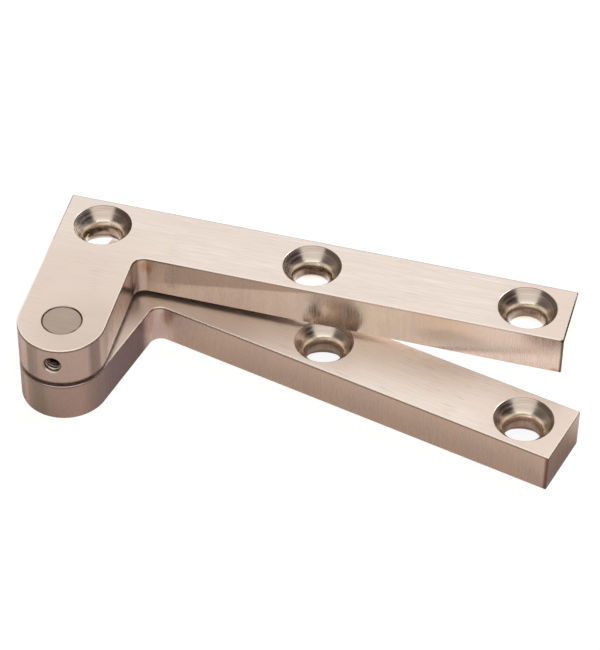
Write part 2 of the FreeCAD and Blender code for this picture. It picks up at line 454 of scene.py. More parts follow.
# %% Grub screw
SCREW_CLEARANCE = 0.03 * MM
BLANK_STEPS = 48
grub_start, grub_end = grub_reach
socket_across_flats = 2.0 * MM
socket_depth = 1.8 * MM
point_radius, end_radius, barrel = 1.25 * MM, 1.6 * MM, 2.1 * MM
grub_screw = threaded_rod("grub_screw_threaded", grub_end + thread_pitch, SCREW_CLEARANCE)
blank = turned_blank("blank", [(0, grub_start), (point_radius, grub_start),
                               (barrel, grub_start + barrel - point_radius),
                               (barrel, grub_end - barrel + end_radius),
                               (end_radius, grub_end), (0, grub_end)], BLANK_STEPS)
cut(grub_screw, blank, "INTERSECT")
socket_radius = socket_across_flats / math.sqrt(3)
punch_bm = bmesh.new()
bmesh.ops.create_cone(punch_bm, cap_ends=True, segments=6, radius1=socket_radius,
                      radius2=socket_radius, depth=2 * socket_depth,
                      matrix=Matrix.Translation((0, 0, grub_end)))
cut(grub_screw, finish_bmesh(punch_bm, "punch"))
move_mesh(grub_screw, lay_along_grub)
tell(grub_screw)

# %% [markdown]
# ## Helpers for nodes
# Every finish below is drawn with nodes only, from positions on the part itself. One small
# function adds a node and fills or links its inputs, and one starts a group, which is a finish
# effect that several materials share.

# %% Node helpers
def put(tree, kind, inputs=None, **settings):
    """Adds one node, sets its properties, and fills or links its inputs by name or number."""
    node = tree.nodes.new("ShaderNode" + kind)
    for key, value in settings.items():
        setattr(node, key, value)
    for key, value in (inputs or {}).items():
        if isinstance(value, bpy.types.NodeSocket):
            tree.links.new(value, node.inputs[key])
        else:
            node.inputs[key].default_value = value
    return node


def calc(tree, operation, a, b=0.0, c=0.0):
    return put(tree, "Math", {0: a, 1: b, 2: c}, operation=operation).outputs[0]


def vector_calc(tree, operation, a, b=(0, 0, 0), out=0):
    return put(tree, "VectorMath", {0: a, 1: b}, operation=operation).outputs[out]


def soft_step(tree, value, low, high, start=0.0, end=1.0):
    """Eases from start to end while a value goes from low to high."""
    node = put(tree, "MapRange", {"Value": value, "From Min": low, "From Max": high,
                                  "To Min": start, "To Max": end}, interpolation_type="SMOOTHSTEP")
    return node.outputs[0]


def tint(tree, mask, a, b):
    """Goes from colour a to colour b with a mask."""
    return put(tree, "Mix", {0: mask, 6: a, 7: b}, data_type="RGBA").outputs[2]


def new_group(name, inputs, outputs):
    """Starts a node group and returns its tree, its inputs and its outputs."""
    group = bpy.data.node_groups.new(name, "ShaderNodeTree")
    for title, kind, value in inputs:
        socket = group.interface.new_socket(title, in_out="INPUT", socket_type="NodeSocket" + kind)
        socket.default_value = value
    for title, kind in outputs:
        group.interface.new_socket(title, in_out="OUTPUT", socket_type="NodeSocket" + kind)
    given = group.nodes.new("NodeGroupInput").outputs
    return group, given, group.nodes.new("NodeGroupOutput").inputs


def use(tree, group, inputs):
    """Places a group in a material with its own values and returns its outputs."""
    return put(tree, "Group", inputs, node_tree=group).outputs


def rgb(red, green, blue):
    return (red, green, blue, 1)


# %% [markdown]
# ## Effects that the finishes share
# Satin metal is scratched in one direction by an abrasive belt. The lines come from noise whose
# space is squeezed across the belt's direction and stretched along it, so one group serves the
# long grain of the faces and the upright grain of the sides. The other groups are soft clouds of
# tarnish, the rings that a countersink bit leaves about each screw hole, one mark at a chosen
# place, a painted highlight along the rims with a dark line beneath the top rim, a painted
# highlight on the shoulder of a screw hole, and a painted reflection: a darker wedge that rises
# along the front of the arm. The groups only put out masks, and each material gives them its own
# colours and strengths.

# %% Belt lines
belt_lines, given, result = new_group(
    "belt_lines", [("Vector", "Vector", (0, 0, 0)), ("Lines per metre", "Vector", (60, 3500, 60)),
                   ("Seed", "Float", 0.0)], [("Fine", "Float"), ("Broad", "Float")])
squeezed = vector_calc(belt_lines, "MULTIPLY", given["Vector"], given["Lines per metre"])
for title, scale, detail, roughness in (("Fine", 1.0, 3.0, 0.65), ("Broad", 0.16, 2.0, 0.6)):
    lines = put(belt_lines, "TexNoise", {"Vector": squeezed, "W": given["Seed"], "Scale": scale,
                                         "Detail": detail, "Roughness": roughness},
                noise_dimensions="4D")
    belt_lines.links.new(soft_step(belt_lines, lines.outputs[0], 0.3, 0.7), result[title])

# %% Clouds of tarnish
tarnish, given, result = new_group(
    "tarnish", [("Vector", "Vector", (0, 0, 0)), ("Patches per metre", "Float", 60.0),
                ("Seed", "Float", 0.0)], [("Mask", "Float")])
cloud = put(tarnish, "TexNoise", {"Vector": given["Vector"], "W": given["Seed"],
                                  "Scale": given["Patches per metre"], "Detail": 4.0,
                                  "Roughness": 0.55, "Distortion": 0.3}, noise_dimensions="4D")
tarnish.links.new(soft_step(tarnish, cloud.outputs[0], 0.35, 0.68), result["Mask"])

# %% Turning rings of the screw holes
RING_DRIFT = 60.0  # how fast a ring's tone changes on its way round, per metre
turning_rings, given, result = new_group(
    "turning_rings", [("Vector", "Vector", (0, 0, 0)), ("Rings per metre", "Float", 3000.0)],
    [("Rings", "Float")])
parts = put(turning_rings, "SeparateXYZ", {0: given["Vector"]}).outputs
from_first = calc(turning_rings, "SUBTRACT", parts["X"], first_hole_x)
along = calc(turning_rings, "WRAP", from_first, hole_pitch / 2, -hole_pitch / 2)
aside = calc(turning_rings, "SUBTRACT", parts["Y"], row_y)
squares = [calc(turning_rings, "POWER", leg, 2.0) for leg in (along, aside)]
from_axis = calc(turning_rings, "SQRT", calc(turning_rings, "ADD", *squares))
ring_place = put(turning_rings, "CombineXYZ", {
    "X": calc(turning_rings, "MULTIPLY", from_axis, given["Rings per metre"]),
    "Y": calc(turning_rings, "MULTIPLY", along, RING_DRIFT),
    "Z": calc(turning_rings, "MULTIPLY", aside, RING_DRIFT)}).outputs[0]
rings = put(turning_rings, "TexNoise", {"Vector": ring_place, "Scale": 1.0, "Detail": 2.0,
                                        "Roughness": 0.7})
turning_rings.links.new(soft_step(turning_rings, rings.outputs[0], 0.3, 0.7), result["Rings"])

# %% One mark at a chosen place
placed_mark, given, result = new_group(
    "placed_mark", [("Vector", "Vector", (0, 0, 0)), ("Centre", "Vector", (0, 0, 0)),
                    ("Reach", "Vector", (0.002, 0.002, 0.002)), ("Raggedness", "Float", 0.5)],
    [("Mask", "Float")])
offset = vector_calc(placed_mark, "SUBTRACT", given["Vector"], given["Centre"])
offset = vector_calc(placed_mark, "DIVIDE", offset, given["Reach"])
away = vector_calc(placed_mark, "LENGTH", offset, out=1)
ragged = put(placed_mark, "TexNoise", {"Vector": offset, "Scale": 2.2, "Detail": 3.0})
edge = calc(placed_mark, "MULTIPLY_ADD", calc(placed_mark, "SUBTRACT", ragged.outputs[0], 0.5),
            given["Raggedness"], away)
placed_mark.links.new(soft_step(placed_mark, edge, 0.35, 1.0, 1.0, 0.0), result["Mask"])

# %% The painted highlight on the rims, and the dark line beside an edge
rim_highlight_and_line, given, result = new_group(
    "rim_highlight_and_line", [("Vector", "Vector", (0, 0, 0)), ("Line", "Float", 0.30 * MM)],
    [("Rim", "Float"), ("Line", "Float")])
height = put(rim_highlight_and_line, "SeparateXYZ", {0: given["Vector"]}).outputs["Z"]
below_top = calc(rim_highlight_and_line, "SUBTRACT", leaf_thickness, height)
from_top = calc(rim_highlight_and_line, "ABSOLUTE", below_top)
from_foot = calc(rim_highlight_and_line, "ABSOLUTE", height)
# Painted highlight: a light band along the top rim and the foot rim.
top_rim_highlight = soft_step(rim_highlight_and_line, from_top, 0.08 * MM, 0.20 * MM, 1.0, 0.0)
foot_rim_highlight = soft_step(rim_highlight_and_line, from_foot, 0.22 * MM, 0.34 * MM, 1.0, 0.0)
rim_highlight_and_line.links.new(calc(rim_highlight_and_line, "MAXIMUM", top_rim_highlight, foot_rim_highlight), result["Rim"])
past_rim = calc(rim_highlight_and_line, "SUBTRACT", below_top, 0.16 * MM)
past_rim = calc(rim_highlight_and_line, "DIVIDE", past_rim, given["Line"])
rim_highlight_and_line.links.new(calc(rim_highlight_and_line, "MULTIPLY", soft_step(rim_highlight_and_line, past_rim, -0.3, 0.2),
                         soft_step(rim_highlight_and_line, past_rim, 0.6, 1.8, 1.0, 0.0)), result["Line"])

# %% The painted highlight on the shoulder of a screw hole
shoulder_highlight, given, result = new_group(
    "shoulder_highlight", [("Vector", "Vector", (0, 0, 0)), ("Low", "Float", 0.4 * MM),
                        ("High", "Float", 2.7 * MM)], [("Mask", "Float")])
height = put(shoulder_highlight, "SeparateXYZ", {0: given["Vector"]}).outputs["Z"]
over_middle = calc(shoulder_highlight, "SUBTRACT", height, leaf_thickness / 2)
over_low = calc(shoulder_highlight, "SUBTRACT", over_middle, given["Low"])
over_high = calc(shoulder_highlight, "SUBTRACT", over_middle, given["High"])
mask = calc(shoulder_highlight, "MULTIPLY",
            soft_step(shoulder_highlight, over_low, -0.4 * MM, 0.4 * MM),
            soft_step(shoulder_highlight, over_high, -0.8 * MM, 0.9 * MM, 1.0, 0.0))
shoulder_highlight.links.new(mask, result["Mask"])

# %% The painted reflection on the front of an arm
WEDGE_FOOT = 0.8 * MM  # height of the wedge's lower edge at the pivot, and its rise along the arm
WEDGE_RISE = 0.165
painted_reflection_wedge, given, result = new_group("painted_reflection_wedge", [("Vector", "Vector", (0, 0, 0))],
                                      [("Mask", "Float")])
parts = put(painted_reflection_wedge, "SeparateXYZ", {0: given["Vector"]}).outputs
# Painted reflection: above this rising line the arm's front is darker, where at rest it mirrors the
# floor past the lower leaf.
lower_edge = calc(painted_reflection_wedge, "MULTIPLY_ADD", parts["X"], WEDGE_RISE, WEDGE_FOOT)
over_edge = calc(painted_reflection_wedge, "SUBTRACT", parts["Z"], lower_edge)
on_arm = calc(painted_reflection_wedge, "MULTIPLY", soft_step(painted_reflection_wedge, parts["X"], 10 * MM, 24 * MM),
              soft_step(painted_reflection_wedge, parts["Y"], 26 * MM, 27 * MM, 1.0, 0.0))
mask = calc(painted_reflection_wedge, "MULTIPLY", soft_step(painted_reflection_wedge, over_edge, -0.3 * MM, 0.4 * MM), on_arm)
painted_reflection_wedge.links.new(mask, result["Mask"])
print("effects:", [group.name for group in bpy.data.node_groups])

# %% [markdown]
# ## Satin nickel
# The leaves are nickel with a warm, creamy tone. Their faces are ground along the arm and their
# sides across it, and the seats of the screw holes are turned. One helper starts each metal: a
# principled shader, and positions measured in the leaf's own frame, so that the grain of the
# upper leaf turns with the upper leaf.

# %% A metal and its own frame
LOWER_FRAME = ((0, 0, 0), 0.0)
UPPER_FRAME = ((0, 0, upper_leaf_z), rest_opening)


def new_material(name):
    material = bpy.data.materials.new(name)
    material.use_nodes = True
    material.node_tree.nodes.clear()
    return material, material.node_tree


def start_metal(name, own_frame):
    """A metal, its node tree, its shader, and positions in the frame of the leaf it is on."""
    material, tree = new_material(name)
    output = put(tree, "OutputMaterial")
    shader = put(tree, "BsdfPrincipled", {"Metallic": 1.0})
    tree.links.new(shader.outputs["BSDF"], output.inputs["Surface"])
    lift, turn = own_frame
    own = put(tree, "Mapping", {"Vector": put(tree, "TexCoord").outputs["Object"], "Location": lift,
                                "Rotation": (0, 0, turn)}, vector_type="TEXTURE")
    return material, tree, shader, own.outputs["Vector"]


def relief(tree, shader, height, depth, strength):
    """Raises the surface by a height pattern, depth in metres."""
    bump = put(tree, "Bump", {"Height": height, "Distance": depth, "Strength": strength})
    tree.links.new(bump.outputs["Normal"], shader.inputs["Normal"])


def lay_over(tree, color, over, mask, strength):
    """Lays one colour over another where a mask is bright, at a strength."""
    return tint(tree, calc(tree, "MULTIPLY", mask, strength), color, over)


def add_marks(tree, own, color, marks):
    """Lays placed marks over a colour: centre and reach in mm, raggedness, strength, colour."""
    for centre, reach, raggedness, strength, mark_color in marks:
        mask = use(tree, placed_mark, {"Vector": own, "Centre": Vector(centre) * MM,
                                       "Reach": Vector(reach) * MM, "Raggedness": raggedness})
        color = lay_over(tree, color, mark_color, mask["Mask"], strength)
    return color


# %% Faces, ground along the arm
FACE_CLOUD = rgb(0.800, 0.690, 0.600)
WORN_LINE = rgb(0.520, 0.440, 0.380)


def ground_face(name, own_frame, seed, dark, light, scratches, marks):
    """The flat faces: long grain, tarnish, placed marks of painted shade, and longer scratches in
    patches.
    """
    material, tree, shader, own = start_metal(name, own_frame)
    grain = use(tree, belt_lines, {"Vector": own, "Lines per metre": (130, 3000, 130), "Seed": seed})
    cloud = use(tree, tarnish, {"Vector": own, "Patches per metre": 38.0, "Seed": seed + 4})
    longer = use(tree, belt_lines, {"Vector": own, "Lines per metre": (200, 3300, 200),
                                    "Seed": seed + 9})
    patches = use(tree, tarnish, {"Vector": own, "Patches per metre": 90.0, "Seed": seed + 12})
    color = tint(tree, grain["Fine"], dark, light)
    color = lay_over(tree, color, dark, grain["Broad"], 0.45)
    color = lay_over(tree, color, FACE_CLOUD, cloud["Mask"], 0.35)
    color = add_marks(tree, own, color, marks)
    worn = calc(tree, "MULTIPLY", soft_step(tree, longer["Fine"], 0.62, 0.98), patches["Mask"])
    color = lay_over(tree, color, WORN_LINE, worn, scratches)
    tree.links.new(color, shader.inputs["Base Color"])
    tree.links.new(soft_step(tree, grain["Fine"], 0, 1, 0.34, 0.44), shader.inputs["Roughness"])
    relief(tree, shader, grain["Fine"], 0.006 * MM, 0.2)
    return material


# %% Sides, ground across the thickness
SIDE_BROAD = rgb(0.690, 0.585, 0.520)
SIDE_CLOUD = rgb(0.680, 0.575, 0.530)
SIDE_WARM = rgb(0.830, 0.670, 0.530)
PAINTED_REFLECTION_DARK = rgb(0.520, 0.415, 0.355)
EDGE_SHADE = rgb(0.220, 0.155, 0.120)
PAINTED_RIM_HIGHLIGHT = rgb(0.900, 0.800, 0.710)
EDGE_AT_BOSS = 0.85  # strength of the dark line at the boss, before it eases along the arm


def ground_side(name, own_frame, seed, dark, light, marks, rim_shade_marks, edge_on_arm, reflection_wedge):
    """The sides: upright grain, tarnish, marks, a painted rim highlight and the dark line beneath
    it.
    """
    material, tree, shader, own = start_metal(name, own_frame)
    grain = use(tree, belt_lines, {"Vector": own, "Lines per metre": (3600, 3600, 130),
                                   "Seed": seed})
    cloud = use(tree, tarnish, {"Vector": own, "Patches per metre": 75.0, "Seed": seed + 3})
    warm = use(tree, tarnish, {"Vector": own, "Patches per metre": 130.0, "Seed": seed + 6})
    color = tint(tree, grain["Fine"], dark, light)
    color = lay_over(tree, color, SIDE_BROAD, grain["Broad"], 0.35)
    color = lay_over(tree, color, SIDE_CLOUD, cloud["Mask"], 0.40)
    color = lay_over(tree, color, SIDE_WARM, warm["Mask"], 0.22)
    # A painted reflection: a darker wedge along the front of the arm.
    if reflection_wedge:
        reflection_mask = use(tree, painted_reflection_wedge, {"Vector": own})
        color = lay_over(tree, color, PAINTED_REFLECTION_DARK, reflection_mask["Mask"], reflection_wedge)
    color = add_marks(tree, own, color, marks)
    edge = use(tree, rim_highlight_and_line, {"Vector": own})
    along = put(tree, "SeparateXYZ", {0: own}).outputs["X"]
    line = soft_step(tree, along, 12 * MM, 30 * MM, EDGE_AT_BOSS, edge_on_arm)
    color = lay_over(tree, color, EDGE_SHADE, edge["Line"], line)
    # Painted highlight along the top and foot rims.
    color = tint(tree, edge["Rim"], color, PAINTED_RIM_HIGHLIGHT)
    # Painted shade laid over parts of the rims.
    color = add_marks(tree, own, color, rim_shade_marks)
    tree.links.new(color, shader.inputs["Base Color"])
    tree.links.new(soft_step(tree, grain["Fine"], 0, 1, 0.20, 0.32), shader.inputs["Roughness"])
    relief(tree, shader, grain["Fine"], 0.010 * MM, 0.20)
    return material


# %% Seats and necks of the screw holes, and the bores
# Painted highlight colour for the shoulders of the screw holes.
PAINTED_SHOULDER_HIGHLIGHT = rgb(0.950, 0.860, 0.740)
SHOULDER_HIGHLIGHT_STRENGTH = 0.85
SEAT_TONES = (rgb(0.580, 0.480, 0.400), rgb(0.760, 0.650, 0.555))
BORE_TONES = (rgb(0.300, 0.235, 0.195), rgb(0.520, 0.430, 0.360))


def turned_seat(name, own_frame, marks):
    """The cones that take the screw heads: fine rings, and a painted highlight at the shoulder."""
    material, tree, shader, own = start_metal(name, own_frame)
    rings = use(tree, turning_rings, {"Vector": own, "Rings per metre": 3200.0})["Rings"]
    color = tint(tree, rings, *SEAT_TONES)
    color = add_marks(tree, own, color, marks)
    # Painted highlight on the shoulder between cone and neck.
    shoulder_light = use(tree, shoulder_highlight, {"Vector": own, "Low": 0.4 * MM})
    color = lay_over(tree, color, PAINTED_SHOULDER_HIGHLIGHT, shoulder_light["Mask"], SHOULDER_HIGHLIGHT_STRENGTH)
    tree.links.new(color, shader.inputs["Base Color"])
    tree.links.new(soft_step(tree, rings, 0, 1, 0.19, 0.30), shader.inputs["Roughness"])
    relief(tree, shader, rings, 0.020 * MM, 0.14)
    return material


def drilled_neck(name, own_frame, seed, dark, light, marks):
    """The plain necks between the cones, streaked along the hole by the drill, with a painted
    highlight by the upper shoulder.
    """
    material, tree, shader, own = start_metal(name, own_frame)
    streaks = use(tree, belt_lines, {"Vector": own, "Lines per metre": (1300, 1300, 90),
                                     "Seed": seed})
    color = tint(tree, streaks["Fine"], dark, light)
    color = lay_over(tree, color, dark, streaks["Broad"], 0.5)
    color = add_marks(tree, own, color, marks)
    # Painted highlight on the upper part of the neck, by the shoulder.
    shoulder_light = use(tree, shoulder_highlight, {"Vector": own, "Low": 1.2 * MM})
    color = lay_over(tree, color, PAINTED_SHOULDER_HIGHLIGHT, shoulder_light["Mask"], SHOULDER_HIGHLIGHT_STRENGTH)
    tree.links.new(color, shader.inputs["Base Color"])
    shader.inputs["Roughness"].default_value = 0.22
    relief(tree, shader, streaks["Fine"], 0.020 * MM, 0.40)
    return material


def reamed_bore(name, own_frame, marks):
    """The pivot bore, and in the upper leaf the tapped hole too."""
    material, tree, shader, own = start_metal(name, own_frame)
    lines = use(tree, belt_lines, {"Vector": own, "Lines per metre": (60, 60, 4000), "Seed": 3.0})
    color = tint(tree, lines["Fine"], *BORE_TONES)
    color = add_marks(tree, own, color, marks)
    tree.links.new(color, shader.inputs["Base Color"])
    shader.inputs["Roughness"].default_value = 0.28
    return material


def finish_leaf(piece, tag, own_frame, seed, face, side, painted_seat_light_and_shade, neck, painted_bore_glints):
    """Gives a leaf its metals in the order FACE, SIDE, SEAT, NECK, BORE."""
    for metal in (ground_face(f"{tag}_face_satin_nickel", own_frame, seed, *face),
                  ground_side(f"{tag}_side_satin_nickel", own_frame, seed + 1, *side),
                  turned_seat(f"{tag}_turned_seat", own_frame, painted_seat_light_and_shade),
                  drilled_neck(f"{tag}_drilled_neck", own_frame, seed + 2, *neck),
                  reamed_bore(f"{tag}_reamed_bore", own_frame, painted_bore_glints)):
        piece.data.materials.append(metal)
    print(piece.name, [m.name for m in piece.data.materials])


# %% [markdown]
# ## Stains, and painted light and shade
# Copper shows through at corners, and a few patches are darker. Most marks are painted light and
# shade: the boss and the leg are darker and greyer, the rims about the gap and along the back are
# darkened, and painted highlights and reflections brighten or darken the fillet, the boss, the
# front of the arm, the toe and the screw holes. Each mark gives its centre and reach in
# millimetres from the pivot, along the arm, across it and up, then its raggedness, strength and
# colour. Marks that lie over the rims come last.

# %% Finish of the lower leaf
COPPER = rgb(0.620, 0.330, 0.150)
MAUVE = rgb(0.300, 0.225, 0.240)
PAINTED_RIM_SHADE = rgb(0.190, 0.165, 0.160)
# Painted shade on the top face: darker near the crank and the boss, where the upper leaf is
# mirrored, and towards the end of the arm.
painted_face_shade = [((15, 28, 10), (34, 26, 30), 0.1, 0.62, rgb(0.600, 0.470, 0.415)),
              ((108, 33, 10), (24, 40, 30), 0.2, 0.80, rgb(0.770, 0.650, 0.565))]
side_stains_and_painted_light = [
    # The boss and the leg darkened as painted shade, and the fillet in the crank painted bright
    # as a painted highlight.
    ((0, -4, 5), (24, 24, 60), 0.0, 0.90, rgb(0.500, 0.380, 0.352)),
    ((10, 13, 5), (4, 24, 60), 0.1, 0.95, rgb(0.225, 0.173, 0.195)),
    ((10.4, 23.2, 5), (5.0, 5.5, 60), 0.1, 0.85, rgb(0.980, 0.860, 0.850)),
    # A darker olive-grey patch on the front of the boss, and a painted highlight beside it.
    ((-0.8, -10, 4), (3.0, 3.0, 40), 0.2, 0.85, rgb(0.400, 0.345, 0.280)),
    ((-4.6, -8.9, 3), (1.1, 1.1, 40), 0.2, 0.60, rgb(0.800, 0.690, 0.570)),
    # Copper where the arm begins.
    ((12.4, 24.5, 7.2), (2.4, 2, 3.4), 0.6, 0.45, COPPER),
    # The back side of the arm paler, as painted light, and the end of the arm dark, as a painted
    # reflection.
    ((95, 41, 5), (44, 4, 40), 0.1, 0.90, rgb(0.790, 0.745, 0.700)),
    ((108.6, 33, 5), (1.2, 34, 40), 0.1, 0.95, rgb(0.205, 0.112, 0.085))]
# Painted shade on the rims: a dark line along the back edge, and the boss's top rim darkened under
# the gap.
painted_back_rim_shade = [((50, 41.2, 10.2), (400, 1.3, 1.5), 0.0, 0.55, PAINTED_RIM_SHADE)]
painted_boss_rim_shade = [((0, -4, 10), (19, 19, 1.2), 0.0, 0.65, rgb(0.420, 0.330, 0.340))]
# The lower leaf's sides get darker tones than the upper leaf's, painted shade for the shaded floor
# close by that they mirror, and its top face lighter ones, painted light.
finish_leaf(lower_leaf, "lower", LOWER_FRAME, 2.0,
            face=(rgb(0.815, 0.728, 0.655), rgb(0.965, 0.868, 0.788), 0.60, painted_face_shade),
            side=(rgb(0.690, 0.575, 0.505), rgb(0.755, 0.640, 0.565), side_stains_and_painted_light,
                  painted_back_rim_shade + painted_boss_rim_shade, 0.75, 0.0),
            painted_seat_light_and_shade=[], neck=(rgb(0.740, 0.590, 0.500), rgb(0.980, 0.870, 0.780), []),
            painted_bore_glints=[])

# %% Finish of the upper leaf
# Painted shade on the top face: darker over the boss and the leg, and towards the toe.
painted_face_shade = [((7, -3, 10), (17, 17, 30), 0.2, 0.85, rgb(0.625, 0.515, 0.440)),
              ((0, 8, 10), (28, 28, 30), 0.2, 0.62, rgb(0.715, 0.605, 0.520)),
              ((106, 33, 10), (18, 30, 30), 0.2, 0.60, rgb(0.745, 0.625, 0.540))]
side_stains_and_painted_light = [
    # The boss darkened as painted shade, with a mauve patch on its right and grey ones on its left.
    ((0, -4, 5), (24, 24, 60), 0.0, 0.85, rgb(0.570, 0.470, 0.440)),
    ((9.2, -4.2, 5), (2.6, 2.6, 40), 0.2, 0.85, MAUVE),
    ((-4.5, -8.9, 5), (1.7, 1.7, 40), 0.2, 0.70, rgb(0.360, 0.310, 0.280)),
    ((-3.0, -9.5, 5), (0.7, 0.7, 40), 0.2, 0.50, rgb(0.400, 0.330, 0.300)),
    # The leg darkened as painted shade, and copper where the arm begins.
    ((10, 13, 5), (4.5, 20, 60), 0.1, 0.55, rgb(0.620, 0.540, 0.500)),
    ((11.8, 24.5, 7.6), (1.8, 1.8, 2.6), 0.6, 0.60, COPPER),
    # Painted reflections on the front of the arm: a dark oval, a warm band, a dark patch.
    ((55.5, 24.5, 7.8), (7.5, 3, 3.6), 0.6, 0.50, rgb(0.430, 0.350, 0.300)),
    ((85, 24.5, 8.5), (14, 3, 3.5), 0.9, 0.40, rgb(0.880, 0.640, 0.450)),
    ((84, 24.5, 3.8), (11, 3, 3.6), 0.5, 0.60, rgb(0.540, 0.440, 0.375)),
    # The toe, painted bright from top to foot as a painted reflection, with copper at its lower
    # corner.
    ((104, 24.5, 9.5), (26, 4, 8), 0.1, 0.90, rgb(0.990, 0.860, 0.800)),
    ((104, 24.5, 0), (30, 4, 7), 0.1, 0.85, rgb(0.850, 0.770, 0.740)),
    ((107.2, 24.5, 0.3), (1.7, 2, 1.1), 0.6, 0.60, COPPER),
    # Two painted highlights on the boss, either side of the tapped hole.
    ((-6.5, -7.6, 5), (1.8, 1.8, 40), 0.2, 0.65, rgb(0.860, 0.760, 0.690)),
    ((9.9, -1.3, 5), (1.7, 1.7, 40), 0.2, 0.60, rgb(0.840, 0.740, 0.680))]
# Painted shade on the rims along the back edge and the heel.
painted_back_rim_shade = [((50, 41.2, 10.2), (400, 1.3, 1.5), 0.0, 0.9, PAINTED_RIM_SHADE),
            ((-11.5, 30, 10.2), (1.3, 60, 1.5), 0.0, 0.9, PAINTED_RIM_SHADE)]
# Painted shade: near-black lines on the toe's top rim and its front corner.
painted_toe_edge_shade = [((108.6, 30, 9.75), (1.2, 17, 0.75), 0.0, 1.0, rgb(0.030, 0.020, 0.018)),
             ((108.6, 24.5, 5), (0.8, 0.8, 60), 0.0, 0.9, rgb(0.060, 0.045, 0.040))]
# Painted shade along the foot of the boss and the leg, where the gap between the leaves is.
painted_gap_shade = [((0, 4, 0), (26, 32, 0.8), 0.1, 0.85, rgb(0.150, 0.095, 0.090))]
# Painted light and shade on the first hole's seat: darker on its right, a painted highlight on its
# left.
painted_seat_light_and_shade = [((3.2, 36.0, 8), (5.0, 5.0, 30), 0.2, 0.60, rgb(0.300, 0.230, 0.215)),
              ((-6.8, 31.0, 8), (4.5, 5.5, 30), 0.2, 0.90, rgb(0.980, 0.890, 0.800))]
# Painted light and shade in the necks: a painted highlight in the first hole's neck, painted shade
# on the lower part of every neck.
painted_neck_light_and_shade = [((-1.4, 32.75, 5), (14, 14, 30), 0.0, 0.75, rgb(0.940, 0.840, 0.740)),
              ((73.6, 32.75, 2.6), (72, 72, 4.4), 0.2, 0.85, rgb(0.110, 0.085, 0.070))]
# A painted glint on the lower lip of the tapped hole.
painted_lip_glint = [((1.0, -10, 3.4), (2.6, 1.6, 1.3), 0.7, 0.90, rgb(0.980, 0.900, 0.800))]
# The upper leaf's necks get much darker tones than the lower leaf's, as painted shade.
finish_leaf(upper_leaf, "upper", UPPER_FRAME, 17.0,
            face=(rgb(0.735, 0.645, 0.580), rgb(0.905, 0.800, 0.728), 0.40, painted_face_shade),
            side=(rgb(0.820, 0.720, 0.610), rgb(0.930, 0.820, 0.710), side_stains_and_painted_light,
                  painted_back_rim_shade + painted_toe_edge_shade + painted_gap_shade, 0.30, 0.85),
            painted_seat_light_and_shade=painted_seat_light_and_shade,
            neck=(rgb(0.260, 0.200, 0.160), rgb(0.540, 0.455, 0.385), painted_neck_light_and_shade),
            painted_bore_glints=painted_lip_glint)

# %% [markdown]
# ## The pivot's metals
# The pin is hardened steel ground flat, greyer than the nickel. The bush is sintered bronze, the
# thrust washer is dark oiled steel that shows only as a line between the leaves, and the locking
# screw is blackened steel.

# %% Pin, bush, washer and screw
def small_metal(name, own_frame, dark, light, lines_per_metre, roughness, relief_depth):
    """The metal of a small piece: fine lines, a little tarnish, and a roughness."""
    material, tree, shader, own = start_metal(name, own_frame)
    lines = use(tree, belt_lines, {"Vector": own, "Lines per metre": lines_per_metre, "Seed": 5.0})
    cloud = use(tree, tarnish, {"Vector": own, "Patches per metre": 260.0, "Seed": 8.0})
    color = tint(tree, lines["Fine"], dark, light)
    color = lay_over(tree, color, dark, cloud["Mask"], 0.35)
    tree.links.new(color, shader.inputs["Base Color"])
    tree.links.new(soft_step(tree, lines["Fine"], 0, 1, roughness - 0.05, roughness + 0.05),
                   shader.inputs["Roughness"])
    relief(tree, shader, lines["Fine"], relief_depth, 0.3)
    return material


pin_steel = small_metal("ground_pin_steel", UPPER_FRAME, rgb(0.370, 0.295, 0.245),
                        rgb(0.470, 0.380, 0.320), (160, 3600, 160), 0.36, 0.008 * MM)
bush_bronze = small_metal("sintered_bronze", LOWER_FRAME, rgb(0.380, 0.200, 0.080),
                          rgb(0.600, 0.360, 0.170), (2500, 2500, 2500), 0.38, 0.015 * MM)
washer_steel = small_metal("dark_washer_steel", LOWER_FRAME, rgb(0.110, 0.070, 0.062),
                           rgb(0.190, 0.130, 0.115), (400, 400, 3000), 0.40, 0.010 * MM)
screw_steel = small_metal("blackened_steel", UPPER_FRAME, rgb(0.050, 0.030, 0.028),
                          rgb(0.160, 0.110, 0.100), (2000, 2000, 2000), 0.30, 0.010 * MM)
grub_screw.data.materials.append(screw_steel)
for node, metal in (("pivot_pin", pin_steel), ("pivot_bush", bush_bronze),
                    ("thrust_washer", washer_steel)):
    for material_slot in frame["nodes"][node].material_slots:
        material_slot.material = metal
print("materials:", len(bpy.data.materials))

# %% [markdown]
# ## Riding on the frame
# Each made piece rides on the body of the solid that it replaces. The pin, the bush and the washer
# stay as they are and have only been given a metal.

# %% Ride and replace
for piece, body, node, slot in ((lower_leaf, "lower_half", "lower_leaf", "leaf_metal"),
                                (upper_leaf, "upper_half", "upper_leaf", "leaf_metal"),
                                (grub_screw, "upper_half", "grub_screw", "grub_steel")):
    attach(piece, body)
    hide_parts(node)
    print(piece.name, "rides on", body, "and replaces", node)

# %% [markdown]
# ## The floor
# Satin metal is a blurred mirror, so what it shows is the room. The floor is white card. To the
# eye and in reflections it glows almost white by itself, and the rest of its light is real, so
# the soft shadow around the hinge stays. In reflections the card is shaded in front of the hinge,
# which is the part that the sides mirror, so they stay darker than the faces.

# %% Floor
FLOOR_RADIUS = 4.0
FLOOR_DROP = 0.02 * MM
GLOW_TO_CAMERA = 0.91
GLOW_IN_METAL = 0.85
SHADE_IN_METAL = 0.06
SHADE_EDGE = (39 * MM, 51 * MM)
CARD = rgb(0.80, 0.67, 0.58)
CARD_TO_CAMERA = rgb(0.17, 0.17, 0.17)

